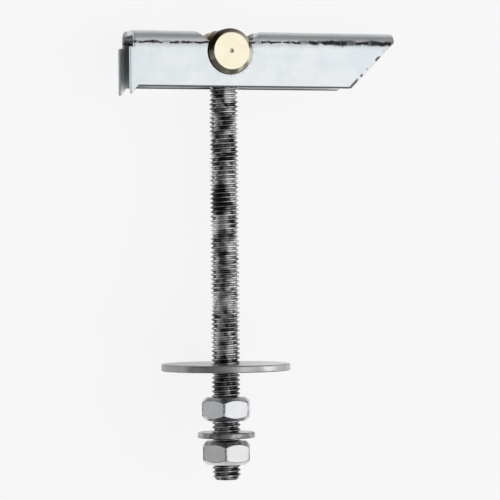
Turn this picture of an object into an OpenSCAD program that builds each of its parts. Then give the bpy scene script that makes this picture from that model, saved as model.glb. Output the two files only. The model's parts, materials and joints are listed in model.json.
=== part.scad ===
// Toggle anchor for a hollow ceiling or wall, in millimetres.
// A folded channel bar swings on a brass barrel at the head of a threaded stud. A cover washer,
// two hexagon nuts and a flat washer run on the stud.
// Each piece is drawn about the pivot, with X along the bar to its long end, Y up the stud and
// Z along the barrel. The whole anchor is then laid on a table the way it comes to rest: on the rim
// of the cover washer, on one end of the barrel and on the long end of the bar.

/* [Stud] */
// Thread diameter of the stud
stud_d = 8; // [6:0.5:10]
// Length of the stud
stud_length = 125; // [100:1:200]
// Distance of the stud's upper end below the top of the barrel
stud_recess = 0.4; // [0.1:0.1:2]
// Chamfer at each end of the stud
stud_chamfer = 1.1; // [0.4:0.1:1.5]

/* [Barrel] */
// Diameter of the barrel
barrel_d = 12.6; // [11:0.1:14]
// Distance the barrel stands out past each flange of the bar
barrel_proud = 1.6; // [0.8:0.1:4]
// Chamfer round each end of the barrel
barrel_chamfer = 1.2; // [0.4:0.1:1.8]
// Diameter of the centre mark in each end of the barrel
centre_mark_d = 1.2; // [0.6:0.1:3]

/* [Bar] */
// Thickness of the bar's sheet
sheet_t = 1.5; // [1:0.1:2.5]
// Inside radius of the two folds
fold_r = 1.1; // [0.4:0.1:2]
// Depth of the flange edges below the pivot axis
flange_drop = 10; // [9:0.1:14]
// Reach of the long half, from the pivot axis to its tip
long_reach = 48.7; // [36:0.1:80]
// Reach of the short half, from the pivot axis to the ends of its flanges
short_reach = 28.7; // [20:0.1:45]
// Height of the square part of the long end, below which it is cut on the slant
tip_land = 2.6; // [1:0.1:5]
// Slant of the long end, from the bar's length
tip_angle = 45; // [30:1:75]
// Distance the web stops short of the ends of the flanges
web_setback = 1.1; // [0.5:0.1:3]
// Height above the pivot axis at which the flange ends step out past the web
step_rise = 1; // [-2:0.1:2]
// Depth of the tooth below each flange edge
tooth_drop = 2.6; // [0.5:0.1:3]
// Width of the root of each tooth
tooth_root = 1.9; // [1:0.1:5]

/* [Web window] */
// Height above the pivot axis at which the barrel seats open into the web window
seat_mouth = 2.7; // [1.5:0.1:3.5]
// Slant of the window's sides, from the bar's length
window_angle = 40; // [30:1:80]

/* [Cover washer] */
// Diameter of the cover washer
cover_d = 36; // [28:0.5:50]
// Thickness of the cover washer
cover_t = 2; // [1:0.1:3]
// Clear space between the cover washer and the upper nut
cover_space = 7.4; // [3:0.1:12]

/* [Nuts and flat washer] */
// Width across the flats of the nuts
nut_flats = 13; // [12:0.5:17]
// Height of the nuts
nut_height = 6.5; // [4:0.1:8]
// Turn of the upper nut about the stud
upper_nut_turn = 8; // [0:1:60]
// Turn of the lower nut about the stud
lower_nut_turn = 11; // [0:1:60]
// Distance of the rims of the nuts' bearing faces inside their flats
nut_face_inset = 0.9; // [0.3:0.1:1.2]
// Slant of the nuts' corner chamfers, from their faces
nut_chamfer_angle = 40; // [15:1:45]
// Depth of the countersink at each end of the nuts' bores
nut_sink = 0.35; // [0.1:0.05:0.8]
// Outside diameter of the flat washer
washer_d = 16; // [14:0.5:20]
// Thickness of the flat washer
washer_t = 1.6; // [0.8:0.1:2.5]
// Bevel round the rims of both washers
washer_bevel = 0.25; // [0.1:0.05:0.35]
// Length of stud that shows below the lower nut
stud_end = 4.3; // [2:0.1:15]
// Clear space between the flat washer and the lower nut
washer_space = 0.9; // [0.5:0.1:5]
// Clear space between the upper nut and the flat washer, where the fixture is clamped
clamp_space = 3.2; // [2:0.1:15]

/* [Fits] */
// Clearance of the folded bar's web over the stud
fold_clearance = 0.1; // [0.05:0.05:0.5]
// Clearance of the bar's flanges on each side of the stud
side_clearance = 0.7; // [0.2:0.1:1.5]
// Radial clearance of the bar's seats on the barrel
seat_clearance = 0.1; // [0.05:0.01:0.3]
// Radial clearance of the threads
thread_clearance = 0.05; // [0.02:0.01:0.1]
// Radial clearance of the washers on the stud
washer_clearance = 0.2; // [0.1:0.05:0.5]

/* [Hidden] */
$fn = 96;
// Cutting tools run past the faces that they cut by this much
past = 1;

stud_r = stud_d / 2;
stud_rise = barrel_d / 2 - stud_recess;
inside_width = stud_d + 2 * side_clearance;
bar_width = inside_width + 2 * sheet_t;
web_rise = stud_r + fold_clearance + sheet_t;
barrel_r = barrel_d / 2;
barrel_length = bar_width + 2 * barrel_proud;
barrel_face_r = barrel_r - barrel_chamfer;
seat_r = barrel_r + seat_clearance;
fold_outer_r = fold_r + sheet_t;

// Half the mouth of the barrel seats, and the slope of the window's sides
mouth_half = sqrt(seat_r * seat_r - seat_mouth * seat_mouth);
window_slope = 1 / tan(window_angle);
function window_half(y) = mouth_half + (y - seat_mouth) * window_slope;

// Places along the stud, upwards from its free end
stud_foot = stud_rise - stud_length;
lower_nut_y = stud_foot + stud_end;
washer_y = lower_nut_y + nut_height + washer_space;
upper_nut_y = washer_y + washer_t + clamp_space;
cover_y = upper_nut_y + nut_height + cover_space;
cover_rim_y = cover_y + cover_t - washer_bevel;

// Corners of the nuts, the rims of their bearing faces and the height of the chamfers between them
nut_corner_r = nut_flats / 2 / cos(30);
nut_face_r = nut_flats / 2 - nut_face_inset;
nut_chamfer_rise = (nut_corner_r - nut_face_r) * tan(nut_chamfer_angle);

// Seen from the pivot, the table's upward direction leans by a along the bar and by b along the stud.
// Each pass finds how high the barrel's end holds the pivot, then leans the anchor until the cover
// washer's rim and the fold at the long tip reach the table too.
tip_fold_y = web_rise - fold_outer_r;
tip_fold_z = bar_width / 2 - fold_outer_r;
function upright(a, b) = sqrt(1 - a * a - b * b);
function pivot_height(a, b) =
    upright(a, b) * barrel_length / 2 + barrel_face_r * sqrt(a * a + b * b);
function stud_slope(a, b) =
    (cover_d / 2 * sqrt(1 - b * b) - pivot_height(a, b)) / cover_rim_y;
function bar_slope(a, b) =
    (upright(a, b) * tip_fold_z + fold_outer_r * sqrt(1 - a * a) - pivot_height(a, b) - b * tip_fold_y)
    / long_reach;
function settle(passes, a, b) =
    passes == 0 ? [a, b] : settle(passes - 1, bar_slope(a, b), stud_slope(a, b));
up = settle(20, 0, 0);
roll = atan2(-up[0], upright(up[0], up[1]));
pitch = asin(up[1]);

// Reach of the lying anchor on each side of the pivot, which centres it over the origin
lie_right = long_reach * cos(roll) + bar_width / 2 * sin(roll);
lie_left = -short_reach * cos(roll) - bar_width / 2 * sin(roll);
lie_back = barrel_r * cos(pitch) - (barrel_length / 2 - barrel_chamfer) * cos(roll) * sin(pitch);
lie_front = stud_foot * cos(pitch) + (stud_r - stud_chamfer) * sin(pitch);

module lie_down()
    translate([-(lie_right + lie_left) / 2, -(lie_back + lie_front) / 2, pivot_height(up[0], up[1])])
        rotate([pitch, 0, 0])
            rotate([0, roll, 0])
                children();

// Stands a piece drawn along Z on the stud, with its foot at height y
module on_stud(y)
    translate([0, y, 0])
        rotate([-90, 0, 0])
            children();

// Upright slot with a round-cornered top, reaching below the teeth
module rounded_slot(width, top, corner_r) {
    foot = -flange_drop - tooth_drop - past;
    translate([-width / 2, foot])
        square([width, top - corner_r - foot]);
    translate([corner_r - width / 2, foot])
        square([width - 2 * corner_r, top - foot]);
    for (side = [-1, 1])
        translate([side * (width / 2 - corner_r), top - corner_r])
            circle(corner_r);
}

// Cross-section of the channel, with the barrel's direction sideways and the web at the top
module channel_section()
    difference() {
        rounded_slot(bar_width, web_rise, fold_outer_r);
        translate([0, -past])
            rounded_slot(inside_width, web_rise - sheet_t + past, fold_r);
    }

// Side outline of the bar: teeth and flange edges, slanted long end, web window and stepped short end
module bar_outline() {
    top = web_rise + past;
    slant_run = (web_rise - tip_land + flange_drop) / tan(tip_angle);
    polygon([
        [-short_reach, -flange_drop - tooth_drop],
        [-short_reach + tooth_root, -flange_drop],
        [long_reach - slant_run, -flange_drop],
        [long_reach, web_rise - tip_land],
        [long_reach, top],
        [window_half(top), top],
        [window_half(seat_mouth - past), seat_mouth - past],
        [-window_half(seat_mouth - past), seat_mouth - past],
        [-window_half(top), top],
        [web_setback - short_reach, top],
        [web_setback - short_reach, step_rise],
        [-short_reach, step_rise]
    ]);
}

module toggle_bar()
    color([0.84, 0.86, 0.88])
        difference() {
            intersection() {
                translate([-short_reach - past, 0, 0])
                    rotate([0, 90, 0])
                        linear_extrude(short_reach + long_reach + 2 * past)
                            channel_section();
                linear_extrude(bar_width + 2 * past, center = true)
                    bar_outline();
            }
            cylinder(r = seat_r, h = bar_width + 2 * past, center = true);
        }

module pivot_barrel()
    color([0.86, 0.76, 0.48])
        difference() {
            rotate_extrude()
                polygon([
                    [0, -barrel_length / 2],
                    [barrel_face_r, -barrel_length / 2],
                    [barrel_r, barrel_chamfer - barrel_length / 2],
                    [barrel_r, barrel_length / 2 - barrel_chamfer],
                    [barrel_face_r, barrel_length / 2],
                    [0, barrel_length / 2]
                ]);
            on_stud(-barrel_r - past)
                cylinder(r = stud_r + thread_clearance, h = barrel_d + 2 * past);
            for (end = [0, 1])
                mirror([0, 0, end])
                    translate([0, 0, (barrel_length - centre_mark_d) / 2])
                        cylinder(r1 = 0, r2 = centre_mark_d, h = centre_mark_d);
        }

module stud()
    color([0.45, 0.46, 0.48])
        on_stud(stud_foot)
            rotate_extrude()
                polygon([
                    [0, 0],
                    [stud_r - stud_chamfer, 0],
                    [stud_r, stud_chamfer],
                    [stud_r, stud_length - stud_chamfer],
                    [stud_r - stud_chamfer, stud_length],
                    [0, stud_length]
                ]);

module washer(outer_d, thickness)
    rotate_extrude()
        polygon([
            [stud_r + washer_clearance, 0],
            [outer_d / 2 - washer_bevel, 0],
            [outer_d / 2, washer_bevel],
            [outer_d / 2, thickness - washer_bevel],
            [outer_d / 2 - washer_bevel, thickness],
            [stud_r + washer_clearance, thickness]
        ]);

module cover_washer()
    color([0.78, 0.79, 0.80])
        on_stud(cover_y)
            washer(cover_d, cover_t);

module flat_washer()
    color([0.74, 0.75, 0.77])
        on_stud(washer_y)
            washer(washer_d, washer_t);

// Hexagon nut with chamfered corners and a countersunk bore
module nut() {
    bore_r = stud_r + thread_clearance;
    difference() {
        intersection() {
            cylinder(r = nut_corner_r, h = nut_height, $fn = 6);
            rotate_extrude()
                polygon([
                    [0, 0],
                    [nut_face_r, 0],
                    [nut_corner_r, nut_chamfer_rise],
                    [nut_corner_r, nut_height - nut_chamfer_rise],
                    [nut_face_r, nut_height],
                    [0, nut_height]
                ]);
        }
        rotate_extrude()
            polygon([
                [0, -past],
                [bore_r + nut_sink + past, -past],
                [bore_r, nut_sink],
                [bore_r, nut_height - nut_sink],
                [bore_r + nut_sink + past, nut_height + past],
                [0, nut_height + past]
            ]);
    }
}

module upper_nut()
    color([0.76, 0.77, 0.78])
        on_stud(upper_nut_y)
            rotate([0, 0, upper_nut_turn])
                nut();

module lower_nut()
    color([0.76, 0.77, 0.78])
        on_stud(lower_nut_y)
            rotate([0, 0, lower_nut_turn])
                nut();

lie_down() toggle_bar();
lie_down() pivot_barrel();
lie_down() stud();
lie_down() cover_washer();
lie_down() upper_nut();
lie_down() flat_washer();
lie_down() lower_nut();
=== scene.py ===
# %% [markdown]
# # A toggle anchor
# The anchor is a fixing for hollow ceilings: a folded zinc-plated bar swings on a brass barrel at the
# head of a threaded stud, and a cover washer, two nuts and a flat washer run on the stud below it.
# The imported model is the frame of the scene. It says where each piece is and which body it moves with,
# so every mesh made here is worked out in the anchor's own directions and laid in place by that frame.

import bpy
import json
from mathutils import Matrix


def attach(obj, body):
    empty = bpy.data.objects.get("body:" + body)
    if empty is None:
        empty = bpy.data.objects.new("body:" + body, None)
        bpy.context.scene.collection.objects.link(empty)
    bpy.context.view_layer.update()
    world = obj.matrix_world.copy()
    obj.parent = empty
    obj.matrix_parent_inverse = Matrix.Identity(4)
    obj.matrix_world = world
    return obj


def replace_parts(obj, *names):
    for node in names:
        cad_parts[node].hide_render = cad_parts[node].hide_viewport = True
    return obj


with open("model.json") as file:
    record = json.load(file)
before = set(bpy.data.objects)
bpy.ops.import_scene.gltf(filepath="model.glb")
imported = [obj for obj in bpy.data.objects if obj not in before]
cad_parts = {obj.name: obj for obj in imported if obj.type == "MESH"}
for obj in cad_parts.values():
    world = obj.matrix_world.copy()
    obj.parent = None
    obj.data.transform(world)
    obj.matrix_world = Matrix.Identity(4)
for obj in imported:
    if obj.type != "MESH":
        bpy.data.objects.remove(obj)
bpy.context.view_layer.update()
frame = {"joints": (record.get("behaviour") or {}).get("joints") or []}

# %% [markdown]
# ## Tools and units
# numpy works out the surfaces, bmesh and bpy turn them into Blender pieces, and one routine of mathutils
# fills an outline with triangles. Lengths are in millimetres until a piece is laid in place, because
# that is how a maker reads a drawing. The Standard view shows colours as they are written.

# %% Modules and units
import json
import math

import bmesh
import bpy
import numpy as np
from mathutils import Matrix, Vector
from mathutils.geometry import delaunay_2d_cdt

MM = 0.001
scene = bpy.context.scene
scene.view_settings.view_transform = "Standard"
print("modules loaded, view:", scene.view_settings.view_transform)

# %% [markdown]
# ## The anchor's own directions
# The anchor lies on a table, leaning a little on its washer, so none of its pieces is square to the
# world. Its joints give its own directions: the bar's hinge runs along the barrel, and the nuts run
# along the stud. With the bar's direction as the third, every piece can be drawn in millimetres from
# the pivot, X along the bar, Y up the stud and Z along the barrel, and laid down as the last step.

# %% From the pivot to the table
joints = {joint["name"]: joint for joint in frame["joints"]}
pivot = np.array(joints["bar_swing"]["pos_m"])
along_barrel = np.array(joints["bar_swing"]["axis"])
up_stud = np.array(joints["upper_nut_run"]["axis"])
along_bar = np.cross(up_stud, along_barrel)
axes = np.stack([along_bar, up_stud, along_barrel], axis=1)


def laid(points):
    """Millimetres about the pivot to metres on the table: the three directions, each times its own
    coordinate, added to the pivot."""
    return pivot + MM * np.asarray(points) @ axes.T


print("the stud leans", round(math.degrees(math.asin(-up_stud[2])), 2), "degrees to the table")

# %% [markdown]
# ## The camera
# The photograph looks at the anchor squarely from the front, a little from the side of the short half.
# The anchor lies on its back here, so the same view is from above. The angles and the distance come
# from matching the ends of the pieces with their places in the picture.

# %% Set up the camera
VIEW_TURN = math.radians(18.46)
VIEW_ROLL = math.radians(-0.47)
VIEW_DISTANCE = 800.0
VIEW_AIM = (7.01, -55.13)
PIXELS_PER_MM = 3.585
IMAGE_SIDE = 500


def view_axes():
    """The level direction across the view, and the camera's right, up and backward directions as columns.
    The camera turns about the stud, then rolls about its own line of sight."""
    level = np.array([math.cos(VIEW_TURN), 0, math.sin(VIEW_TURN)])
    back = np.array([-math.sin(VIEW_TURN), 0, math.cos(VIEW_TURN)])
    upright = np.array([0, 1, 0])
    right = math.cos(VIEW_ROLL) * level + math.sin(VIEW_ROLL) * upright
    above = math.cos(VIEW_ROLL) * upright - math.sin(VIEW_ROLL) * level
    return level, np.stack([right, above, back], axis=1)


level, camera_axes = view_axes()
aim = VIEW_AIM[0] * level + np.array([0, VIEW_AIM[1], 0])
camera_data = bpy.data.cameras.new("camera")
camera_data.sensor_fit = "HORIZONTAL"
camera_data.angle = 2 * math.atan(IMAGE_SIDE / 2 / (PIXELS_PER_MM * VIEW_DISTANCE))
camera_data.clip_start = 0.01
camera = bpy.data.objects.new("camera", camera_data)
scene.collection.objects.link(camera)
camera.matrix_world = (Matrix.Translation(laid(aim + VIEW_DISTANCE * camera_axes[:, 2]))
                       @ Matrix((axes @ camera_axes).tolist()).to_4x4())
scene.camera = camera
print("camera angle", round(math.degrees(camera_data.angle), 2), "degrees")

# %% [markdown]
# ## Shader nodes
# Floor, room and metals are all built from shader nodes. A few short helpers place a node, fill or link
# its inputs and hand back its output, so that a pattern reads like a line of arithmetic.

# %% Nodes in one line
def add(tree, kind, inputs=None, **settings):
    """Adds a node, sets its properties, and fills or links its inputs by name or number."""
    node = tree.nodes.new(kind)
    for key, value in settings.items():
        setattr(node, key, value)
    for key, value in (inputs or {}).items():
        if isinstance(value, bpy.types.NodeSocket):
            tree.links.new(value, node.inputs[key])
        else:
            node.inputs[key].default_value = value
    return node


def math_node(tree, operation, *values):
    """The output of one step of arithmetic."""
    return add(tree, "ShaderNodeMath", dict(enumerate(values)), operation=operation).outputs[0]


def spread(tree, value, low, high, to_low=0.0, to_high=1.0):
    """A value moved from one range to another, smoothly and without overshoot."""
    limits = {"From Min": low, "From Max": high, "To Min": to_low, "To Max": to_high}
    return add(tree, "ShaderNodeMapRange", {"Value": value, **limits},
               interpolation_type="SMOOTHSTEP").outputs["Result"]


def coordinates(tree, place):
    """The three coordinates of a place, each as an output."""
    return list(add(tree, "ShaderNodeSeparateXYZ", {0: place}).outputs)


# %% [markdown]
# ## Floor
# The anchor lies on plain pale paper. The photograph's ground is white, and lamps strong enough to make
# paper white would burn out the metal. So the paper glows, but only to the camera and in mirrors, and
# the part of it that doesn't glow still takes the anchor's soft shadow.

# %% The floor
FLOOR_HALF = 4.0
FLOOR_DROP = 0.00005
FLOOR_GLOW = 0.85
square = FLOOR_HALF * np.array([[-1, -1], [1, -1], [1, 1], [-1, 1]])
floor_mesh = bpy.data.meshes.new("floor")
floor_mesh.from_pydata([(x, y, -FLOOR_DROP) for x, y in square.tolist()], [], [(0, 1, 2, 3)])
floor = bpy.data.objects.new("floor", floor_mesh)
scene.collection.objects.link(floor)
floor_paint = bpy.data.materials.new("white_floor")
floor_paint.use_nodes = True
tree = floor_paint.node_tree
tree.nodes.clear()
path = add(tree, "ShaderNodeLightPath").outputs
seen = math_node(tree, "MAXIMUM", path["Is Camera Ray"], path["Is Glossy Ray"])
glow_share = math_node(tree, "MULTIPLY", seen, FLOOR_GLOW)
paper = add(tree, "ShaderNodeBsdfDiffuse", {"Color": (0.93, 0.93, 0.93, 1)})
glow = add(tree, "ShaderNodeEmission", {"Color": (1, 1, 1, 1), "Strength": 1.0})
mixed = add(tree, "ShaderNodeMixShader", {"Fac": glow_share, 1: paper.outputs[0], 2: glow.outputs[0]})
add(tree, "ShaderNodeOutputMaterial", {"Surface": mixed.outputs[0]})
floor_mesh.materials.append(floor_paint)
print("floor:", 2 * FLOOR_HALF, "m square, glow", FLOOR_GLOW)

# %% [markdown]
# ## Room
# Bright metal is painted by what it mirrors, so the room is chosen for its reflections. It is pale
# overhead, which whitens the flanges, and dark near the horizon, which draws the dark lines along
# rounded edges. Its left half is dimmer, so that the stud and the nuts have a shaded side.

# %% The room
ROOM_GREYS = ((0.0, 0.05), (0.25, 0.1), (0.45, 0.5), (1.0, 0.66))
DIM_X = (-0.4, 0.1)
DIM_STRENGTH = (0.5, 1.0)


def greys(tree, value, stops):
    """A ramp of (value, grey) stops, driven by a value."""
    node = add(tree, "ShaderNodeValToRGB", {"Fac": value})
    while len(node.color_ramp.elements) < len(stops):
        node.color_ramp.elements.new(0.5)
    for element, (place, grey) in zip(node.color_ramp.elements, stops):
        element.position = place
        element.color = (grey, grey, grey, 1)
    return node.outputs["Color"]


room = bpy.data.worlds.new("room")
scene.world = room
room.use_nodes = True
tree = room.node_tree
tree.nodes.clear()
sideways, _, height = coordinates(tree, add(tree, "ShaderNodeTexCoord").outputs["Generated"])
strength = spread(tree, sideways, *DIM_X, *DIM_STRENGTH)
air = add(tree, "ShaderNodeBackground", {"Color": greys(tree, height, ROOM_GREYS), "Strength": strength})
add(tree, "ShaderNodeOutputWorld", {"Surface": air.outputs[0]})
print("room:", len(ROOM_GREYS), "greys from the horizon up")

# %% [markdown]
# ## Lamps
# Three soft square lamps stand in for a studio's boxes. The large key lamp hangs above and to the right
# and lights the flanges and the right sides of the nuts. A weak one low on the left keeps their left
# sides grey instead of black, and one low on the right brings out the chamfer on the barrel.

# %% The lamps
LAMP_DISTANCE = 1.2


def soft_lamp(name, towards, size, power):
    """A square lamp that hangs at a distance in one direction and faces the anchor."""
    data = bpy.data.lights.new(name, "AREA")
    data.shape = "SQUARE"
    data.size = size
    data.energy = power
    lamp = bpy.data.objects.new(name, data)
    scene.collection.objects.link(lamp)
    towards = Vector(towards).normalized()
    lamp.matrix_world = (Matrix.Translation(towards * LAMP_DISTANCE)
                         @ towards.to_track_quat("Z", "Y").to_matrix().to_4x4())


soft_lamp("key_lamp", towards=(0.55, -0.05, 0.83), size=1.3, power=2.9)
soft_lamp("fill_lamp", towards=(-0.96, -0.1, 0.22), size=0.7, power=0.6)
soft_lamp("side_lamp", towards=(0.95, 0.0, 0.32), size=0.6, power=1.25)

# %% [markdown]
# ## From arrays to a mesh
# Each piece is worked out as arrays of points and faces. One helper puts them into Blender, keeps named
# marks on the points for the materials to read, welds seams and poles, turns all faces outwards and
# lets flat faces keep their own shading. It prints the volume and the edges left open, which is 0 for
# a piece that is closed.

# %% The helper that skins a piece
WELD = 2e-8
SHARP = math.radians(40)


def skin(name, points, quads=(), triangles=(), **marks):
    """A mesh object from points in millimetres, with quads, triangles and marks on the points."""
    quads = np.asarray(quads, int).reshape(-1, 4)
    triangles = np.asarray(triangles, int).reshape(-1, 3)
    mesh = bpy.data.meshes.new(name)
    mesh.from_pydata(laid(points).tolist(), [], quads.tolist() + triangles.tolist())
    for mark, values in marks.items():
        kept = mesh.attributes.new(mark, "FLOAT", "POINT")
        kept.data.foreach_set("value", np.asarray(values, np.float32))
    work = bmesh.new()
    work.from_mesh(mesh)
    bmesh.ops.remove_doubles(work, verts=work.verts, dist=WELD)
    bmesh.ops.dissolve_degenerate(work, edges=work.edges, dist=WELD)
    bmesh.ops.recalc_face_normals(work, faces=work.faces)
    volume = work.calc_volume(signed=True) / MM ** 3
    open_edges = sum(not edge.is_manifold for edge in work.edges)
    work.to_mesh(mesh)
    work.free()
    mesh.shade_smooth()
    mesh.set_sharp_from_angle(angle=SHARP)
    piece = bpy.data.objects.new(name, mesh)
    scene.collection.objects.link(piece)
    piece.modifiers.new("flat_faces_first", "WEIGHTED_NORMAL").keep_sharp = True
    print(f"{name}: {len(mesh.vertices)} points, {len(mesh.polygons)} faces, "
          f"{volume:.1f} cubic mm, {open_edges} open edges")
    return piece


def ring_quads(rows, columns):
    """Quads of a grid that closes on itself in both directions, like a tyre."""
    i, j = np.meshgrid(np.arange(rows), np.arange(columns), indexing="ij")
    def at(a, b):
        return a % rows * columns + b % columns
    return np.stack([at(i, j), at(i, j + 1), at(i + 1, j + 1), at(i + 1, j)], -1).reshape(-1, 4)


# %% [markdown]
# ## Rounded corners
# No edge on a pressed or turned part is sharp: the tools leave a small radius, and that radius is what
# catches the light. This helper rounds every corner of an outline at once. It walks back and forward
# from each corner by the radius times the tangent of half the turn, and swings an arc between the two.

# %% The helper that rounds corners
def rounded(corners, radii, steps):
    """Closed outlines, an array (..., corners, 2), with every corner turned into an arc. The arc starts
    where the radius times the tangent of half the turn is left to the corner, and at an angle b along it
    lies the radius times sin b further on and the radius times (1 - cos b) to the side."""
    corners = np.asarray(corners, float)
    arriving = corners - np.roll(corners, 1, axis=-2)
    leaving = np.roll(corners, -1, axis=-2) - corners
    arriving /= np.linalg.norm(arriving, axis=-1, keepdims=True)
    leaving /= np.linalg.norm(leaving, axis=-1, keepdims=True)
    turn = np.arctan2(arriving[..., 0] * leaving[..., 1] - arriving[..., 1] * leaving[..., 0],
                      (arriving * leaving).sum(-1))
    radii = np.broadcast_to(radii, turn.shape)
    back = radii * np.tan(np.abs(turn) / 2)
    start = corners - arriving * back[..., None]
    bend = turn[..., None] * np.linspace(0, 1, steps)
    side = np.sign(turn)[..., None]
    along = radii[..., None] * np.sin(np.abs(bend))
    across = radii[..., None] * (1 - np.cos(bend)) * side
    left = np.stack([-arriving[..., 1], arriving[..., 0]], -1)
    arcs = (start[..., None, :] + along[..., None] * arriving[..., None, :]
            + across[..., None] * left[..., None, :])
    return arcs.reshape(*corners.shape[:-2], -1, 2)


# %% [markdown]
# ## Threaded stud
# The stud is an M8 rod, threaded from end to end. A thread could be a bump in the material, but its
# ridges make the stud's outline and its dark look, so they are real. The grid's rows follow the helix:
# a row keeps its place in the thread's profile while it climbs one pitch a turn, so each crest is a
# clean edge. The last column joins the first one a pitch further up.

# %% The stud
STUD_R = 4.0
STUD_TOP = 5.9
STUD_FOOT = -119.1
STUD_CHAMFER = 1.1
PITCH = 1.25
ROOT_R = 3.27
PROFILE_PLACE = np.array([-0.1, 0.0, 0.1, 0.2, 0.305, 0.41, 0.455, 0.5, 0.545, 0.59, 0.695, 0.8])
PROFILE_DEPTH = np.array([0.03, 0.0, 0.03, 0.33, 0.64, 0.95, 0.99, 1.0, 0.99, 0.95, 0.64, 0.33])
AROUND_STUD = 48
END_DEPTH = 0.4


def helix_rows():
    """Heights and radii on the helix grid: height is place in the profile plus turns, times the pitch,
    kept between the ends; radius is the profile's, or the chamfer's where that is smaller."""
    turns = int(math.ceil((STUD_TOP - STUD_FOOT) / PITCH)) + 3
    place = (np.arange(turns)[:, None] + PROFILE_PLACE).reshape(-1, 1)
    depth = np.tile(PROFILE_DEPTH, turns)[:, None]
    climb = np.arange(AROUND_STUD)[None, :] / AROUND_STUD
    height = np.clip(STUD_FOOT + (place + climb - 1) * PITCH, STUD_FOOT, STUD_TOP)
    to_end = np.minimum(height - STUD_FOOT, STUD_TOP - height)
    cone = STUD_R - STUD_CHAMFER + to_end
    return height, np.minimum(STUD_R - depth * (STUD_R - ROOT_R), cone)


def stud_skin():
    """Points, quads, end triangles and depth of the stud: the helix grid, each row joined to the one a
    pitch further up after a turn, with a fan of triangles at each end."""
    height, radius = helix_rows()
    rows, per_turn = len(height), len(PROFILE_PLACE)
    angle = 2 * np.pi * np.arange(AROUND_STUD) / AROUND_STUD
    wall = np.stack([radius * np.sin(angle), height, radius * np.cos(angle)], -1).reshape(-1, 3)
    ends = np.array([[0, STUD_FOOT, 0], [0, STUD_TOP, 0]])
    i, j = np.meshgrid(np.arange(rows - per_turn - 1), np.arange(AROUND_STUD), indexing="ij")
    ahead = i + np.where(j == AROUND_STUD - 1, per_turn, 0)
    around = (j + 1) % AROUND_STUD
    def at(a, b):
        return a * AROUND_STUD + b
    quads = np.stack([at(i, j), at(ahead, around), at(ahead + 1, around), at(i + 1, j)], -1).reshape(-1, 4)
    j = np.arange(AROUND_STUD)
    low = np.stack([j, (j + 1) % AROUND_STUD, np.full_like(j, len(wall))], -1)
    last = (rows - 1) * AROUND_STUD
    high = np.stack([last + (j + 1) % AROUND_STUD, last + j, np.full_like(j, len(wall) + 1)], -1)
    depth = np.concatenate([((STUD_R - radius) / (STUD_R - ROOT_R)).ravel(), [END_DEPTH, END_DEPTH]])
    return np.concatenate([wall, ends]), quads, np.concatenate([low, high]), np.clip(depth, 0, 1)


points, quads, triangles, depth = stud_skin()
stud = skin("threaded_stud", points, quads, triangles, depth=depth)
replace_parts(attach(stud, "stud"), "stud")

# %% [markdown]
# ## Nuts
# An M8 nut is a slice of hexagon bar, turned at both ends to a cone of 40 degrees, so that each flat
# meets the cone in a curved line. Cutting a prism with a cone would leave ragged edges here. Instead
# the nut's section is carried round the stud, and at every angle its corners sit exactly where the
# hexagon meets the cone.

# %% The two nuts
NUT_FLATS = 13.0
NUT_HEIGHT = 6.5
NUT_FACE_R = 5.6
NUT_SLANT = math.radians(40)
NUT_SINK = 0.35
NUT_BORE_R = 4.05
NUT_CORNER_R = 7.44
NUT_EDGE_R = [0.06, 0.12, 0.3, 0.3, 0.12, 0.06, 0.06, 0.06]
NUT_EDGE_MARKS = [0.2, 0.7, 1, 1, 0.7, 0.2, 0, 0]
NUT_ARC_MARKS = [0, 1, 1, 0]
FLAT_REACH = math.radians(29.1)
FLAT_POINTS = 17
RIDGE_R = (7.26, 7.38)
NUT_FOOT = {"upper_nut": -102.6, "lower_nut": -114.8}
NUT_TURN = {"upper_nut": 8.0, "lower_nut": 11.0}


def nut_skin(foot, turn):
    """Section of the nut carried round the stud. At angle a from the middle of a flat, the hexagon's
    radius is half the flats over cos a, and the cone starts at its excess over the face, times tan 40.
    A flat stops a little short of 30 degrees, which blunts the six corners. The mark of an edge is the
    larger of two, one on the turned edges and one on the ridges between the flats."""
    sixth = FLAT_REACH * np.sin(np.linspace(-np.pi / 2, np.pi / 2, FLAT_POINTS))
    middle = np.radians(30 + 60 * np.arange(6))[:, None]
    angle = (middle + sixth).ravel()
    hexagon = np.tile(np.minimum(NUT_FLATS / 2 / np.cos(sixth), NUT_CORNER_R), 6)
    rise = (hexagon - NUT_FACE_R) * math.tan(NUT_SLANT)
    flat = np.ones_like(hexagon)
    section = np.stack([
        np.stack([(NUT_BORE_R + NUT_SINK) * flat, 0 * flat], -1),
        np.stack([NUT_FACE_R * flat, 0 * flat], -1),
        np.stack([hexagon, rise], -1),
        np.stack([hexagon, NUT_HEIGHT - rise], -1),
        np.stack([NUT_FACE_R * flat, NUT_HEIGHT * flat], -1),
        np.stack([(NUT_BORE_R + NUT_SINK) * flat, NUT_HEIGHT * flat], -1),
        np.stack([NUT_BORE_R * flat, (NUT_HEIGHT - NUT_SINK) * flat], -1),
        np.stack([NUT_BORE_R * flat, NUT_SINK * flat], -1),
    ], axis=1)
    outline = rounded(section, NUT_EDGE_R, len(NUT_ARC_MARKS))
    spin = angle[:, None] + math.radians(turn)
    points = np.stack([outline[..., 0] * np.cos(spin), foot + outline[..., 1],
                       -outline[..., 0] * np.sin(spin)], -1)
    turned = np.outer(NUT_EDGE_MARKS, NUT_ARC_MARKS).ravel() * np.ones((len(angle), 1))
    on_wall = np.repeat([0, 0, 1, 1, 0, 0, 0, 0], len(NUT_ARC_MARKS))
    ridge = np.clip((hexagon - RIDGE_R[0]) / (RIDGE_R[1] - RIDGE_R[0]), 0, 1)[:, None] * on_wall
    return points.reshape(-1, 3), ring_quads(len(angle), outline.shape[1]), np.maximum(turned, ridge).ravel()


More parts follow.
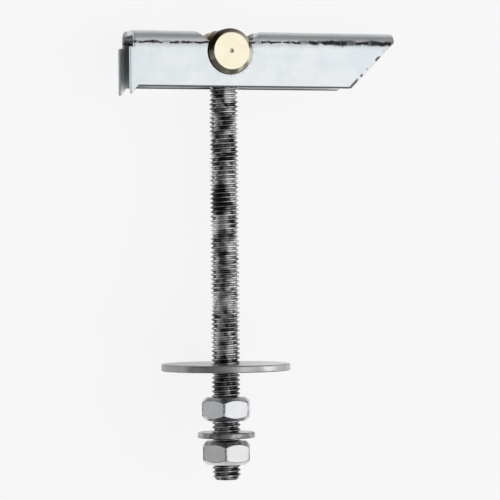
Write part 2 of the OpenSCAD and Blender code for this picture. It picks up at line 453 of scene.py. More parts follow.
nuts = {}
for name in ("upper_nut", "lower_nut"):
    points, quads, edge = nut_skin(NUT_FOOT[name], NUT_TURN[name])
    nuts[name] = skin(name + "_hexagon", points, quads, edge=edge)
    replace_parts(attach(nuts[name], name), name)

# %% [markdown]
# ## Washers
# Both washers are punched from sheet. The punch rolls the edge over on the side it enters and leaves
# it sharper on the other, so the two rims of one washer have different radii. A Bevel modifier would
# round all rims alike. A section with four rounded corners, carried round the stud, gives each its own.

# %% The two washers
WASHER_BORE_R = 4.2
LOWER_RIM_R = 0.3
BORE_RIM_R = (0.08, 0.3)
RIM_MARKS = [0.3, 1.0, 0.7, 0.3]
RIM_ARC_MARKS = [0, 0.6, 1, 1, 0.6, 0]
AROUND_WASHER = 144
COVER = {"foot": -88.7, "radius": 18.0, "thickness": 2.0, "roll_over": 0.45}
FLAT = {"foot": -107.4, "radius": 8.0, "thickness": 1.6, "roll_over": 0.4}


def washer_skin(foot, radius, thickness, roll_over):
    """Section of a washer, a rectangle with rounded corners, carried round the stud. The mark of an edge
    is the rim's own, how much it is knocked, times the place in its arc."""
    section = np.array([[WASHER_BORE_R, 0], [radius, 0], [radius, thickness], [WASHER_BORE_R, thickness]])
    outline = rounded(section, [BORE_RIM_R[0], LOWER_RIM_R, roll_over, BORE_RIM_R[1]], len(RIM_ARC_MARKS))
    angle = 2 * np.pi * np.arange(AROUND_WASHER)[:, None] / AROUND_WASHER
    points = np.stack([outline[:, 0] * np.cos(angle), foot + outline[:, 1] + 0 * angle,
                       -outline[:, 0] * np.sin(angle)], -1)
    edge = np.outer(RIM_MARKS, RIM_ARC_MARKS).ravel() * np.ones((len(angle), 1))
    return points.reshape(-1, 3), ring_quads(len(angle), len(outline)), edge.ravel()


points, quads, edge = washer_skin(**COVER)
cover_washer = skin("cover_washer_disc", points, quads, edge=edge)
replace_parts(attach(cover_washer, "cover_washer"), "cover_washer")
points, quads, edge = washer_skin(**FLAT)
flat_washer = skin("flat_washer_disc", points, quads, edge=edge)
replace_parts(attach(flat_washer, "flat_washer"), "flat_washer")

# %% [markdown]
# ## Brass barrel
# The barrel is turned from brass rod: a cylinder with a chamfer and a small centre mark at each end,
# drilled across and tapped for the stud. The round hole in a round wall is the awkward part, because
# a Boolean cut leaves slivers there that shade badly. So the wall is drawn unrolled, as a square sheet
# whose grid runs from the hole's outline to the sheet's edge, and then rolled up. Plain sheets fill the
# sides, and the ends are turned from a profile.

# %% The barrel
BARREL_R = 6.3
BARREL_HALF = 7.8
BARREL_CHAMFER = 1.2
WALL_HALF = BARREL_HALF - BARREL_CHAMFER - 0.15
HOLE_R = 4.05
HOLE_BREAK = 0.18
PATCH_TURN = math.pi / 3
MARK_R = 0.6
SIDE_STEPS = 24
PATCH_ROWS = 9
TURNED_R = [0, 0.22, 0.22, 0.06, 0, 0]
ARC_STEPS = 6


def open_quads(rows, columns, wrap, base):
    """Quads of a grid of rows that is open along the rows, and may close round the columns."""
    i, j = np.meshgrid(np.arange(rows - 1), np.arange(columns if wrap else columns - 1), indexing="ij")
    def at(a, b):
        return base + a * columns + b % columns
    return np.stack([at(i, j), at(i, j + 1), at(i + 1, j + 1), at(i + 1, j)], -1).reshape(-1, 4)


def square_edge(count):
    """Points round a square of half-width 1, evenly along each side, starting in the middle of one side."""
    walk = 8 * np.arange(count) / count
    wave = np.abs((walk[:, None] + np.array([4, 2])) % 8 - 4) - 2
    return np.clip(wave, -1, 1)


def barrel_skin():
    """Wall patches about the two mouths of the hole, side sheets, hole wall and turned ends, in one list."""
    edge_place = square_edge(4 * SIDE_STEPS)
    phase = np.arctan2(edge_place[:, 1], edge_place[:, 0])
    outer = edge_place * [PATCH_TURN * BARREL_R, WALL_HALF]
    mouth_r = HOLE_R + HOLE_BREAK
    unrolled = BARREL_R * np.arcsin(mouth_r * np.cos(phase) / BARREL_R)
    mouth = np.stack([unrolled, mouth_r * np.sin(phase)], -1)
    mix = np.linspace(0, 1, PATCH_ROWS)[:, None, None]
    flat = mouth + mix * (outer - mouth)
    turn = flat[..., 0] / BARREL_R
    patch = np.stack([BARREL_R * np.sin(turn), BARREL_R * np.cos(turn), flat[..., 1]], -1)
    throat_x, throat_z = HOLE_R * np.cos(phase), HOLE_R * np.sin(phase)
    lip = np.sqrt(BARREL_R ** 2 - throat_x ** 2) - HOLE_BREAK
    throat = np.stack([throat_x, lip, throat_z], -1)[None]
    half = np.concatenate([throat, patch])
    mirror = half * [1, -1, 1]
    bore = np.stack([throat[0], throat[0] * [1, -1, 1]])
    heights = np.sort(np.unique(np.round(outer[:, 1], 9)))
    side_turn = np.linspace(PATCH_TURN, math.pi - PATCH_TURN, SIDE_STEPS // 2 + 1)
    side_turns, side_z = np.meshgrid(side_turn, heights, indexing="ij")
    side = np.stack([BARREL_R * np.sin(side_turns), BARREL_R * np.cos(side_turns), side_z], -1)
    top_turn = np.sort(np.unique(np.round(outer[:, 0], 9))) / BARREL_R
    half_ring = np.concatenate([top_turn[:-1], side_turn[:-1]])
    ring = np.concatenate([half_ring, half_ring + math.pi])
    corners = np.array([[BARREL_R, 0.0], [BARREL_R, BARREL_HALF - BARREL_CHAMFER],
                        [BARREL_R - BARREL_CHAMFER, BARREL_HALF], [MARK_R, BARREL_HALF],
                        [0.0, BARREL_HALF - MARK_R], [0.0, 0.0]])
    profile = rounded(corners, TURNED_R, ARC_STEPS)[ARC_STEPS:4 * ARC_STEPS + 1]
    profile = np.concatenate([[[BARREL_R, WALL_HALF]], profile])
    end_r, end_z = profile[:, :1], profile[:, 1:]
    end = np.stack([end_r * np.sin(ring), end_r * np.cos(ring), end_z + 0 * ring], -1)
    shells, quads, base = [], [], 0
    for shell, wrap in ((half, True), (mirror, True), (bore, True), (side, False),
                        (side * [-1, 1, 1], False), (end, True), (end * [1, 1, -1], True)):
        quads.append(open_quads(shell.shape[0], shell.shape[1], wrap, base))
        shells.append(shell.reshape(-1, 3))
        base += len(shells[-1])
    return np.concatenate(shells), np.concatenate(quads)


points, quads = barrel_skin()
barrel = skin("turned_barrel", points, quads)
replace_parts(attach(barrel, "stud"), "pivot_barrel")

# %% [markdown]
# ## Folded bar
# The bar starts as a flat blank cut from sheet, with a window in the middle, and is folded twice into
# a channel. It is made the same way here. The blank's outline and window are drawn flat, their edge
# gets the rounded section that shearing leaves, the flat area is filled with triangles, and one
# function folds every point: across the web, round the fold and down the flange.

# %% Sizes of the bar
SHEET = 1.5
EDGE_R = 0.22
FOLD_MID_R = 1.85
FOLD_OUTER_R = 2.6
FOLD_Y = 3.0
WEB_HALF = 3.6
FLANGE_Y = -10.0
LONG_END = 48.7
SHORT_END = -28.7
WEB_END = -27.6
STEP_Y = 1.0
TOOTH_Y = -12.6
TOOTH_ROOT = 1.9
SEAT_R = 6.4
MOUTH_Y = 2.7
WINDOW_SLOPE = 1 / math.tan(math.radians(40))
FOLD_ARC = FOLD_MID_R * math.pi / 2


def down(y):
    """Distance over the blank from the middle of the web to a height y on a flange."""
    return WEB_HALF + FOLD_ARC + FOLD_Y - y


def fold(x, across, lift):
    """Folds the blank: level over the web, round a quarter circle, then straight down each flange. The
    lift off the middle of the sheet goes along the direction square to the sheet there."""
    far = np.where(across < 0, -1.0, 1.0)
    run = np.abs(across)
    bend = np.clip((run - WEB_HALF) / FOLD_MID_R, 0, math.pi / 2)
    y = FOLD_Y + FOLD_MID_R * np.cos(bend) - np.maximum(run - WEB_HALF - FOLD_ARC, 0)
    z = np.minimum(run, WEB_HALF) + FOLD_MID_R * np.sin(bend)
    return np.stack([x, y + lift * np.cos(bend), far * (z + lift * np.sin(bend))], -1), bend


print("blank:", round(LONG_END - SHORT_END, 2), "by", round(2 * down(FLANGE_Y), 2), "mm without its teeth")

# %% [markdown]
# ## The bar's blank
# A press cuts the blank in one stroke: the slanted long end, the short end with a tooth on each flange,
# and the window with the two round seats for the barrel. Only the near half is drawn, and its mirror
# image is joined on. Every corner gets a radius larger than the rounding of the edge, so that the inner
# rim of the edge never crosses itself.

# %% The blank's outline
OUTLINE_R = [0.5, 0.5, 0.4, 0.27, 0.35, 0.35]
SILL_R = 0.5
LIP_R = 0.3
SILL_POINTS = 8
SEAT_POINTS = 73
EDGE_STEP = 0.9


def both_sides(near):
    """A line round the near half of the blank, with its mirror image joined on."""
    return np.concatenate([near, near[::-1] * [1, -1]])


def spaced(loop, longest):
    """A closed line with points added so that none of its steps is longer than a limit."""
    step = np.roll(loop, -1, axis=0) - loop
    count = np.maximum(np.ceil(np.linalg.norm(step, axis=1) / longest).astype(int), 1)
    which = np.repeat(np.arange(len(loop)), count)
    share = (np.arange(count.sum()) - np.repeat(np.cumsum(count) - count, count)) / np.repeat(count, count)
    return loop[which] + share[:, None] * step[which]


def distinct(loop):
    """A closed line without points that repeat the one before."""
    return loop[np.linalg.norm(loop - np.roll(loop, 1, axis=0), axis=1) > 1e-6]


def blank_edges():
    """The blank's outer edge and the edge of its window, both with the metal on their left."""
    slant = FOLD_Y - FLANGE_Y
    near = np.array([[LONG_END, down(FOLD_Y)], [LONG_END - slant, down(FLANGE_Y)],
                     [SHORT_END + TOOTH_ROOT, down(FLANGE_Y)], [SHORT_END, down(TOOTH_Y)],
                     [SHORT_END, down(STEP_Y)], [WEB_END, down(STEP_Y)]])
    outer = distinct(rounded(both_sides(near), OUTLINE_R + OUTLINE_R[::-1], 6))
    mouth = math.sqrt(SEAT_R ** 2 - MOUTH_Y ** 2)
    bend = np.linspace(0, math.pi / 2, SILL_POINTS)
    fold_y = FOLD_Y + FOLD_OUTER_R * np.cos(bend)
    sill = np.stack([mouth + (fold_y - MOUTH_Y) * WINDOW_SLOPE, WEB_HALF + FOLD_MID_R * bend], -1)
    start = math.atan2(MOUTH_Y, mouth)
    swing = np.linspace(start, -math.pi - start, SEAT_POINTS)
    seat = np.stack([SEAT_R * np.cos(swing), down(SEAT_R * np.sin(swing))], -1)
    side = np.concatenate([sill, seat, sill[::-1] * [-1, 1]])
    corner = np.zeros(len(side))
    corner[[0, -1]] = SILL_R
    corner[[SILL_POINTS, -SILL_POINTS - 1]] = LIP_R
    window = distinct(rounded(both_sides(side), np.concatenate([corner, corner[::-1]]), 5))
    return spaced(outer, EDGE_STEP), spaced(window[::-1], EDGE_STEP)


outer_edge, window_edge = blank_edges()
print("points on the blank's edge and window:", len(outer_edge), len(window_edge))

# %% [markdown]
# ## The bar's surface
# The edge of the sheet is a rounded section carried along the outline and along the window. Between
# these two loops each face is filled with triangles. Extra points, close together where the sheet will
# bend, keep the folds smooth. Then every point is folded, and the bar is closed all round.

# %% Fill, round and fold the blank
FILL_STEP = 1.3
FILL_CLEAR = 0.45
ROUND = np.radians([90, 60, 30, 0])
SECTION_MARKS = [0.0, 0.6, 1, 1, 1, 1, 0.6, 0.0]


def inward(loop):
    """Directions into the metal: a closed line's own direction at each point, turned left."""
    along = np.roll(loop, -1, axis=0) - np.roll(loop, 1, axis=0)
    along /= np.linalg.norm(along, axis=1, keepdims=True)
    return np.stack([-along[:, 1], along[:, 0]], -1)


def inside(places, loops):
    """Whether each place has an odd number of the loops' sides straight above it."""
    a = np.concatenate(loops)
    b = np.concatenate([np.roll(loop, -1, axis=0) for loop in loops])
    x, y = places[:, :1], places[:, 1:]
    spans = (a[:, 0] <= x) != (b[:, 0] <= x)
    run = np.where(b[:, 0] == a[:, 0], 1, b[:, 0] - a[:, 0])
    above = a[:, 1] + (x - a[:, 0]) * (b[:, 1] - a[:, 1]) / run > y
    return (spans & above).sum(1) % 2 == 1


def fill_places(loops):
    """Rows of points over the blank, close together in the folds, that keep clear of its edges."""
    fold_rows = np.linspace(WEB_HALF, WEB_HALF + FOLD_ARC, 11)
    flange_rows = np.linspace(down(FOLD_Y), down(FLANGE_Y), 9)[1:]
    rows = np.concatenate([[0, 1.8], fold_rows, flange_rows])
    rows = np.unique(np.concatenate([-rows, rows]))
    x, across = np.meshgrid(np.arange(SHORT_END + 0.5, LONG_END, FILL_STEP), rows)
    places = np.stack([x.ravel(), across.ravel()], -1)
    places = places[inside(places, loops)]
    edge = np.concatenate(loops)
    gap = np.linalg.norm(places[:, None] - edge[None], axis=-1).min(1)
    return places[gap > FILL_CLEAR]


def bar_skin():
    """The blank's edge as a rounded section carried along both of its loops, its faces as triangles
    between them on the two sides of the sheet, all folded."""
    turn = np.concatenate([ROUND, -ROUND[::-1]])
    inset = EDGE_R * (1 - np.cos(turn))
    straight = SHEET / 2 - EDGE_R
    lift = np.repeat([straight, -straight], len(ROUND)) + EDGE_R * np.sin(turn)
    loops = [outer_edge, window_edge]
    rims = [loop + inset[:, None, None] * inward(loop) for loop in loops]
    trimmed = [rim[0] for rim in rims]
    places = fill_places(trimmed)
    flat = np.concatenate(trimmed + [places]).astype(np.float32).astype(float)
    counts = [len(loop) for loop in trimmed]
    starts = np.cumsum([0] + counts)
    sides = [np.stack([s + np.arange(n), s + (np.arange(n) + 1) % n], -1) for s, n in zip(starts, counts)]
    filled = delaunay_2d_cdt(flat.tolist(), np.concatenate(sides).tolist(), [], 0, 1e-9)
    corners = np.array(filled[2])
    moved = np.abs(np.array(filled[0]) - flat).max()
    corners = corners[inside(flat[corners].mean(1), np.split(flat[:starts[2]], [starts[1]]))]
    plan = np.concatenate([rim.reshape(-1, 2) for rim in rims] + [places, places])
    heights = np.concatenate([np.repeat(lift, n) for n in counts]
                             + [np.repeat([SHEET / 2, -SHEET / 2], len(places))])
    rim_start = np.cumsum([0] + [len(turn) * n for n in counts])
    def face(row, filling):
        rims = [start + row * n + np.arange(n) for start, n in zip(rim_start, counts)]
        return np.concatenate(rims + [rim_start[2] + filling * len(places) + np.arange(len(places))])
    upper, lower = face(0, 0), face(len(turn) - 1, 1)
    quads = np.concatenate([open_quads(len(turn), n, True, start) for n, start in zip(counts, rim_start)])
    points, bend = fold(plan[:, 0], plan[:, 1], heights)
    edge = np.concatenate([np.repeat(SECTION_MARKS, n) for n in counts] + [np.zeros(2 * len(places))])
    print("triangles on each face of the blank:", len(corners), "largest shift in filling:", moved)
    return points, quads, np.concatenate([upper[corners], lower[corners][:, ::-1]]), edge, np.sin(2 * bend)


points, quads, triangles, edge, bent = bar_skin()
bar = skin("folded_bar", points, quads, triangles, edge=edge, bent=bent)
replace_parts(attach(bar, "bar"), "toggle_bar")

# %% [markdown]
# ## Shared effects
# Plated metal is never one colour. Two effects come back on several pieces: the cloudy tone and fine
# grain of the surface, and the wear that breaks through on edges. Each is a node group, built once, and
# so are the rings that a lathe leaves, ready for any turned piece. A group gives out masks and heights
# only, and each material decides what to do with them.

# %% Node groups
def group(name, inputs, outputs):
    """An empty shader node group with named sockets, each given as (name, kind, value)."""
    made = bpy.data.node_groups.new(name, "ShaderNodeTree")
    for socket, kind, value in inputs:
        made_socket = made.interface.new_socket(socket, in_out="INPUT", socket_type="NodeSocket" + kind)
        made_socket.default_value = value
    for socket in outputs:
        made.interface.new_socket(socket, in_out="OUTPUT", socket_type="NodeSocketFloat")
    return made, made.nodes.new("NodeGroupInput").outputs, made.nodes.new("NodeGroupOutput").inputs


def noise(tree, place, scale, detail, distortion=0.0):
    """Noise with about so many features in a millimetre."""
    return add(tree, "ShaderNodeTexNoise", {"Vector": place, "Scale": scale, "Detail": detail,
                                            "Distortion": distortion}).outputs["Fac"]


# %% [markdown]
# ## Cloudy plating
# Zinc comes out of the bath in soft clouds with a fine grain in them. Two noises of different sizes give
# the clouds and the grain, and a faint pattern of cells under the clouds is the crystals of the zinc.

# %% Cloudy plating
plating, given, gives = group("cloudy_plating", [("Place", "Vector", (0, 0, 0)), ("Cloud size", "Float", 6.0),
                                                 ("Grain size", "Float", 0.35)], ["Cloud", "Grain", "Height"])
per_cloud = math_node(plating, "DIVIDE", 1.0, given["Cloud size"])
per_grain = math_node(plating, "DIVIDE", 1.0, given["Grain size"])
cloud = noise(plating, given["Place"], per_cloud, 4.0, 0.6)
grain = noise(plating, given["Place"], per_grain, 2.0)
cells = add(plating, "ShaderNodeTexVoronoi", {"Vector": given["Place"], "Scale": per_cloud})
soft_cloud = spread(plating, cloud, 0.32, 0.68, 0, 0.8)
tone = math_node(plating, "MULTIPLY_ADD", cells.outputs["Distance"], 0.25, soft_cloud)
plating.links.new(tone, gives["Cloud"])
plating.links.new(spread(plating, grain, 0.3, 0.7), gives["Grain"])
plating.links.new(math_node(plating, "MULTIPLY_ADD", cloud, 0.4, grain), gives["Height"])
print("cloudy_plating:", len(plating.nodes), "nodes")

# %% [markdown]
# ## Worn edges
# Where pieces rub in the box the plating goes from the edges first, and in spots. The mark kept on the
# points says how near to an edge a place is, and noise breaks it up.

# %% Worn edges
wear, given, gives = group("worn_edge", [("Place", "Vector", (0, 0, 0)), ("Edge", "Float", 0.0),
                                         ("Spot size", "Float", 1.2)], ["Worn"])
spots = noise(wear, given["Place"], math_node(wear, "DIVIDE", 1.0, given["Spot size"]), 4.0)
spotted = spread(wear, spots, 0.35, 0.6, 0.35, 1.0)
wear.links.new(math_node(wear, "MULTIPLY", given["Edge"], spotted), gives["Worn"])
print("worn_edge:", len(wear.nodes), "nodes")

# %% [markdown]
# ## Lathe rings
# A turning tool leaves fine rings about the axis, some cut a little brighter than others. A sine of the
# distance from the axis gives the rings, and noise along the same distance gives the brighter bands.

# %% Lathe rings
rings, given, gives = group("lathe_rings", [("Place", "Vector", (0, 0, 0)), ("Spacing", "Float", 0.25)],
                            ["Height", "Band"])
x, y, _ = coordinates(rings, given["Place"])
from_axis = add(rings, "ShaderNodeCombineXYZ", {0: x, 1: y}).outputs[0]
radius = add(rings, "ShaderNodeVectorMath", {0: from_axis}, operation="LENGTH").outputs["Value"]
turns = math_node(rings, "DIVIDE", radius, given["Spacing"])
ridges = math_node(rings, "SINE", math_node(rings, "MULTIPLY", turns, 2 * math.pi))
line = add(rings, "ShaderNodeCombineXYZ", {0: turns}).outputs[0]
band = noise(rings, line, 0.9, 3.0)
rings.links.new(math_node(rings, "MULTIPLY_ADD", band, 2.0, ridges), gives["Height"])
rings.links.new(spread(rings, band, 0.3, 0.7), gives["Band"])
print("lathe_rings:", len(rings.nodes), "nodes")

# %% [markdown]
# ## Metals
# Each metal is one Principled shader, fully metallic, whose colour and roughness come from the shared
# effects. All patterns are placed in millimetres along the anchor's own directions. A Mapping node turns
# Object coordinates that way, so that a pattern stays on its piece when the piece moves.

# %% Start a metal
to_anchor = Matrix(axes.T.tolist())


def metal(name, piece, colour, rough):
    """A new metallic material on a piece, with its place in millimetres about the pivot."""
    made = bpy.data.materials.new(name)
    made.use_nodes = True
    tree = made.node_tree
    tree.nodes.clear()
    shader = add(tree, "ShaderNodeBsdfPrincipled", {"Base Color": (*colour, 1), "Metallic": 1.0,
                                                    "Roughness": rough})
    add(tree, "ShaderNodeOutputMaterial", {"Surface": shader.outputs[0]})
    spot = add(tree, "ShaderNodeTexCoord")
    place = add(tree, "ShaderNodeMapping", {"Vector": spot.outputs["Object"], "Scale": (1 / MM,) * 3,
                                            "Rotation": to_anchor.to_euler(),
                                            "Location": -(to_anchor @ Vector(pivot)) / MM})
    piece.data.materials.append(made)
    return tree, shader, place.outputs[0]


def use(tree, shared, **inputs):
    """A node that places a shared group in a material."""
    node = tree.nodes.new("ShaderNodeGroup")
    node.node_tree = shared
    for key, value in inputs.items():
        socket = node.inputs[key.replace("_", " ")]
        if isinstance(value, bpy.types.NodeSocket):
            tree.links.new(value, socket)
        else:
            socket.default_value = value
    return node.outputs


def mark(tree, name):
    """A mark that was kept on a piece's points."""
    return add(tree, "ShaderNodeAttribute", attribute_name=name).outputs["Fac"]


def blend_colours(tree, share, first, second):
    """A mix of two colours, each a socket or a fixed colour."""
    first, second = (c if isinstance(c, bpy.types.NodeSocket) else (*c, 1) for c in (first, second))
    return add(tree, "ShaderNodeMix", {0: share, 6: first, 7: second}, data_type="RGBA").outputs[2]


def over(tree, under, mask, share, colour):
    """A colour laid over another where a mask is set, at most by a share."""
    return blend_colours(tree, math_node(tree, "MULTIPLY", mask, share), under, colour)


def bump(tree, shader, height, strength, depth):
    """Gives a shader's surface a small relief of so many millimetres."""
    node = add(tree, "ShaderNodeBump", {"Strength": strength, "Distance": depth * MM, "Height": height})
    tree.links.new(node.outputs[0], shader.inputs["Normal"])


# %% [markdown]
# ## Bright zinc on the bar
# The bar is rolled sheet with bright, bluish zinc on it, nearly a mirror with faint clouds. Clouds and
# wear come from the shared groups. Its own marks are measured from the sizes of the bar, in millimetres
# along it, up from the pivot and across it, so that they stay on its folds and edges.

# %% Start the bar's metal
BAR_HALF = WEB_HALF + FOLD_OUTER_R
tree, shader, place = metal("bright_zinc_bar", bar, (0.73, 0.76, 0.78), 0.3)
cloud = use(tree, plating, Place=place, Cloud_size=7.0, Grain_size=1.4)
worn = use(tree, wear, Place=place, Edge=mark(tree, "edge"), Spot_size=1.5)["Worn"]
along, up, across = coordinates(tree, place)
outward = math_node(tree, "ABSOLUTE", across)
print("outer faces of the bar:", BAR_HALF, "mm from its middle")

# %% [markdown]
# ## Marks of the folding tool, and painted shade on the fold
# The edge of the tool scuffs the zinc where the fold starts. That leaves a dark ragged line along each fold,
# thin on the short half and heavier towards the long end; the line is painted much darker than a scuff, as
# painted shade. The grey haze about it is painted shade, and the matt band above is the die's rub, painted
# darker as shade on the fold. The line is the distance from a height on the flange, shaken by noise, against
# a width that swells and shrinks, and the haze is the same distance over a longer reach.

# %% The dark line along the folds
LINE_X, LINE_Y = (-20.0, 30.0), (2.25, 2.65)
WIDER_X, LINE_HALF = (16.0, 32.0), (0.32, 0.66)
WHOLE_X, WHOLE_SHARE = (16.0, 26.0), (0.3, 0.8)
RAGGED, RAGGED_LENGTH = 1.2, 1.8
SWELLING, SWELLING_LENGTH = (0.75, 1.25), 6.0
PIECE_LENGTH = 3.4
HAZE_SHADE_REACH = (1.9, 0.3)
RUBBED_SHADE_Y = (5.0, 3.6)
line_y = spread(tree, along, *LINE_X, *LINE_Y)
above_line = math_node(tree, "SUBTRACT", up, line_y)
shake = math_node(tree, "MULTIPLY_ADD", noise(tree, place, 1 / RAGGED_LENGTH, 4.0), RAGGED, -RAGGED / 2)
off_line = math_node(tree, "ABSOLUTE", math_node(tree, "ADD", above_line, shake))
step = add(tree, "ShaderNodeCombineXYZ", {0: along}).outputs[0]
swelling = spread(tree, noise(tree, step, 1 / SWELLING_LENGTH, 2.0), 0.35, 0.65, *SWELLING)
half = math_node(tree, "MULTIPLY", spread(tree, along, *WIDER_X, *LINE_HALF), swelling)
pieces = spread(tree, noise(tree, step, 1 / PIECE_LENGTH, 3.0), 0.38, 0.50)
unbroken = math_node(tree, "MAXIMUM", pieces, spread(tree, along, *WHOLE_X, *WHOLE_SHARE))
in_line = spread(tree, math_node(tree, "DIVIDE", off_line, half), 1.5, 0.5)
# The dark line is partly the tool's scuff and partly painted shade.
die_mark_and_shade = math_node(tree, "MULTIPLY", in_line, unbroken)
# Painted shade: a grey haze about the line.
painted_shade_haze = spread(tree, off_line, *HAZE_SHADE_REACH)
# A matt band above the line: the die's rub, painted darker as shade on the fold.
rubbed_and_shaded = math_node(tree, "MULTIPLY", spread(tree, above_line, -0.1, 0.2), spread(tree, up, *RUBBED_SHADE_Y))
print("dark line:", LINE_Y, "mm above the pivot, about", 2 * LINE_HALF[1], "mm wide at the long end")

# %% [markdown]
# ## Sheared edges
# The cut edges show bare steel, which is darker than the zinc. Along the lower edges this is a thin even
# line. On the slanted end the shears left small burrs, dark dashes along the rim of the outer faces.
# Under the web the inside of the short end is darkened as painted shade, and the edges of the far flange are
# darkened as painted shade too.

# %% Edges, burrs and painted shade
SHEAR_Y, SHEAR_NEAR, SHEAR_FADE = -9.62, 0.16, 0.15
SHEAR_START_X = (-26.9, -26.3)
BURR_REACH, BURR_START_X, BURR_LENGTH = (1.25, 0.85), (35.0, 35.6), 2.6
INSIDE_SHADE_Y, INSIDE_SHADE_X = (1.5, 0.5), (-20.0, -24.0)
NEAR_Z, FAR_SHADE_Z, INNER_Z = (3.0, 4.0), (0.0, -2.0), (5.3, 4.9)
near = spread(tree, across, *NEAR_Z)
below_top = math_node(tree, "SUBTRACT", math_node(tree, "MULTIPLY_ADD", near, SHEAR_NEAR, SHEAR_Y), up)
sheared = math_node(tree, "MULTIPLY", spread(tree, below_top, 0.0, SHEAR_FADE),
                    spread(tree, along, *SHEAR_START_X))
from_slant = math_node(tree, "ADD", math_node(tree, "SUBTRACT", up, along), LONG_END - FOLD_Y)
slant_band = math_node(tree, "MULTIPLY", spread(tree, from_slant, *BURR_REACH),
                       spread(tree, along, *BURR_START_X))
dashes = spread(tree, noise(tree, place, 1 / BURR_LENGTH, 2.0), 0.51, 0.56)
on_face = spread(tree, outward, BAR_HALF - 0.3, BAR_HALF - 0.1)
burr = math_node(tree, "MULTIPLY", math_node(tree, "MULTIPLY", slant_band, dashes), on_face)
bare = math_node(tree, "MAXIMUM", sheared, burr)
# Painted shade: the edges of the far flange are darkened.
far_edge_shade = math_node(tree, "MULTIPLY", mark(tree, "edge"), spread(tree, across, *FAR_SHADE_Z))
# Painted shade: the inside of the channel under the web, at the short end, is darkened.
inner = math_node(tree, "MULTIPLY", spread(tree, outward, *INNER_Z), spread(tree, up, *INSIDE_SHADE_Y))
under_web = math_node(tree, "MULTIPLY", inner, spread(tree, along, WEB_END - 0.1, WEB_END + 0.3))
inside_shade = math_node(tree, "MULTIPLY", under_web, spread(tree, along, *INSIDE_SHADE_X))
print("bare steel: below", SHEAR_Y, "mm, and up to", BURR_REACH[0], "mm in from the slanted end")

# %% [markdown]
# ## The bar's colours
# The marks are laid over the clouded zinc one after another, each with its own colour and strength, in the
# order of this list: folding with its painted shade, wear, painted shade on the far flange's edges and inside
# the short end, and bare cuts.

# %% Lay the marks over the zinc
sheen = blend_colours(tree, cloud["Cloud"], (0.675, 0.735, 0.77), (0.775, 0.795, 0.80))
dulled = over(tree, sheen, mark(tree, "bent"), 0.1, (0.42, 0.42, 0.425))
# The matt band, the haze and the dark line carry painted shade on the fold.
matted_and_shaded = over(tree, dulled, rubbed_and_shaded, 0.85, (0.5, 0.5, 0.505))
haze_shaded = over(tree, matted_and_shaded, painted_shade_haze, 0.5, (0.35, 0.35, 0.36))
lined = over(tree, haze_shaded, die_mark_and_shade, 0.99, (0.018, 0.018, 0.02))
edged = over(tree, lined, worn, 0.25, (0.3, 0.3, 0.31))
# Painted shade on the far flange's edges.
far_shaded = over(tree, edged, far_edge_shade, 0.8, (0.2, 0.2, 0.205))
# Painted shade inside the short end.
inside_shaded = over(tree, far_shaded, inside_shade, 0.5, (0.16, 0.165, 0.17))
tree.links.new(over(tree, inside_shaded, bare, 0.94, (0.08, 0.08, 0.085)), shader.inputs["Base Color"])
dull = math_node(tree, "MULTIPLY", mark(tree, "bent"), 0.22)
rough = math_node(tree, "ADD", spread(tree, cloud["Grain"], 0, 1, 0.29, 0.32), dull)
tree.links.new(rough, shader.inputs["Roughness"])
bump(tree, shader, cloud["Height"], 0.05, 0.015)
print("bright_zinc_bar:", len(tree.nodes), "nodes")

# %% [markdown]
# ## Zinc on nuts and washers
# Small parts are plated loose in a turning drum, so their zinc is cloudier than the bar's and their edges are
# knocked dark. The nuts are cleaner than the washers, and the cover washer is painted darker towards the
# bar's short end, as painted shade. One loop makes all four, with the differences in a table.

# %% Nuts and washers
# Painted shade: the last column of the table is how much a piece darkens towards the bar's short end.
SIDE_SHADE_X = (14.0, -14.0)
for name, piece, tints, edge_share, cloud_size, side_shade in (
        ("zinc_upper_nut", nuts["upper_nut"], ((0.69, 0.705, 0.73), (0.76, 0.775, 0.795)), 0.85, 5.0, 0.0),
        ("zinc_lower_nut", nuts["lower_nut"], ((0.69, 0.695, 0.70), (0.74, 0.745, 0.75)), 0.85, 5.0, 0.0),
        ("zinc_cover_washer", cover_washer, ((0.34, 0.34, 0.345), (0.68, 0.685, 0.69)), 0.85, 9.0, 0.75),
        ("zinc_flat_washer", flat_washer, ((0.12, 0.12, 0.125), (0.54, 0.545, 0.55)), 0.8, 4.0, 0.0)):
    tree, shader, place = metal(name, piece, tints[0], 0.4)
    cloud = use(tree, plating, Place=place, Cloud_size=cloud_size, Grain_size=0.5)
    worn = use(tree, wear, Place=place, Edge=mark(tree, "edge"), Spot_size=1.0)["Worn"]
    # Painted shade towards the bar's short end.
    painted_side_shade = spread(tree, coordinates(tree, place)[0], *SIDE_SHADE_X, 0.0, side_shade)
    sheen = blend_colours(tree, painted_side_shade, blend_colours(tree, cloud["Cloud"], *tints), (0.25, 0.25, 0.255))
    edged = over(tree, sheen, worn, edge_share, (0.14, 0.14, 0.145))
    tree.links.new(edged, shader.inputs["Base Color"])
    tree.links.new(spread(tree, cloud["Grain"], 0, 1, 0.25, 0.32), shader.inputs["Roughness"])
    bump(tree, shader, cloud["Height"], 0.03, 0.02)
    print(name + ":", len(tree.nodes), "nodes")
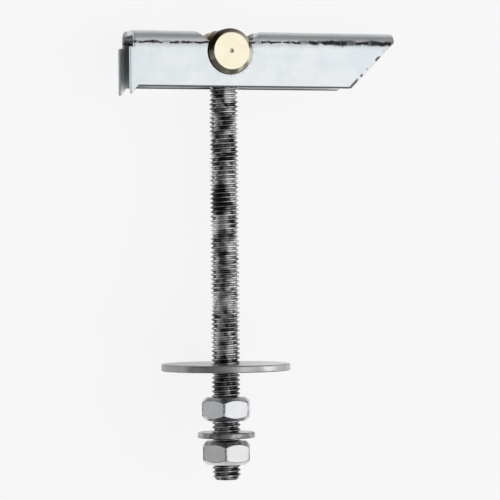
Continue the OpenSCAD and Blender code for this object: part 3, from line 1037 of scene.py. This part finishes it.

# %% [markdown]
# ## Oiled zinc on the thread
# A thread holds oil and dirt in its grooves, and the grooves are also painted darker as shade, so the stud is
# the darkest piece, with bright crests where the nuts have run. The depth kept on the points tells crest from
# groove. Small clouds make patches where the oil has been wiped away, and they fade below the cover washer,
# so the stud is darker there.

# %% The thread
WIPED_CLOUD = (0.17, 1.0)
PATCH_FADE_Y, PATCH_FADE_SHARE = (-84.0, -92.0), (1.0, 0.65)
tree, shader, place = metal("oiled_zinc_stud", stud, (0.3, 0.3, 0.31), 0.3)
cloud = use(tree, plating, Place=place, Cloud_size=3.4, Grain_size=0.5)
crest = math_node(tree, "SUBTRACT", 1.0, mark(tree, "depth"))
worn = use(tree, wear, Place=place, Edge=spread(tree, crest, 0.6, 1.0), Spot_size=2.5)["Worn"]
# The patches fade below the cover washer, leaving the stud darker there.
patch_fade = spread(tree, coordinates(tree, place)[1], *PATCH_FADE_Y, *PATCH_FADE_SHARE)
patches = math_node(tree, "MULTIPLY", spread(tree, cloud["Cloud"], *WIPED_CLOUD), patch_fade)
# The grooves' dark colour is dirt and painted shade together.
groove_dirt_and_shade = blend_colours(tree, patches, (0.045, 0.045, 0.047), (0.62, 0.62, 0.625))
crests = blend_colours(tree, patches, (0.28, 0.28, 0.285), (0.97, 0.97, 0.975))
tree.links.new(over(tree, groove_dirt_and_shade, worn, 0.8, crests), shader.inputs["Base Color"])
tree.links.new(spread(tree, cloud["Grain"], 0, 1, 0.2, 0.36), shader.inputs["Roughness"])
bump(tree, shader, cloud["Height"], 0.15, 0.02)
print("oiled_zinc_stud:", len(tree.nodes), "nodes")

# %% [markdown]
# ## Pale brass on the barrel
# The barrel's end faces are bright from the lathe, with fine rings. The chamfer and the wall are painted dark
# brown as shade, more on the upper left. The painted shade is a slope across the barrel, kept off the end
# faces and fading out before the far end.

# %% The barrel
SHADE_SIDE = math.radians(130)
SHADE_SPAN = (-0.8 * BARREL_R, 0.9 * BARREL_R)
SHADE_Z = (-1.5, 2.5)
FACE_BAND = (BARREL_HALF - 0.05, BARREL_HALF - 0.16)
tree, shader, place = metal("pale_brass_barrel", barrel, (0.93, 0.88, 0.68), 0.25)
shader.inputs["Specular Tint"].default_value = (0.3, 0.28, 0.24, 1)
cloud = use(tree, plating, Place=place, Cloud_size=5.0, Grain_size=0.3)
turned = use(tree, rings, Place=place, Spacing=0.3)
x, y, z = coordinates(tree, place)
off_face = spread(tree, math_node(tree, "ABSOLUTE", z), *FACE_BAND)
# Painted shade: the chamfer and wall darken towards the upper left.
shade_slope = math_node(tree, "ADD", math_node(tree, "MULTIPLY", x, math.cos(SHADE_SIDE)),
                  math_node(tree, "MULTIPLY", y, math.sin(SHADE_SIDE)))
painted_shade_end = math_node(tree, "MULTIPLY", off_face, spread(tree, z, *SHADE_Z))
barrel_painted_shade = math_node(tree, "MULTIPLY", painted_shade_end, spread(tree, shade_slope, *SHADE_SPAN))
brass = blend_colours(tree, cloud["Cloud"], (0.80, 0.745, 0.565), (0.86, 0.81, 0.655))
ringed = over(tree, brass, turned["Band"], 0.3, (0.76, 0.69, 0.49))
# Painted shade laid over the brass.
tree.links.new(over(tree, ringed, barrel_painted_shade, 0.95, (0.035, 0.03, 0.02)), shader.inputs["Base Color"])
tree.links.new(spread(tree, cloud["Grain"], 0, 1, 0.14, 0.2), shader.inputs["Roughness"])
bump(tree, shader, turned["Height"], 0.06, 0.006)
print("pale_brass_barrel:", len(tree.nodes), "nodes")
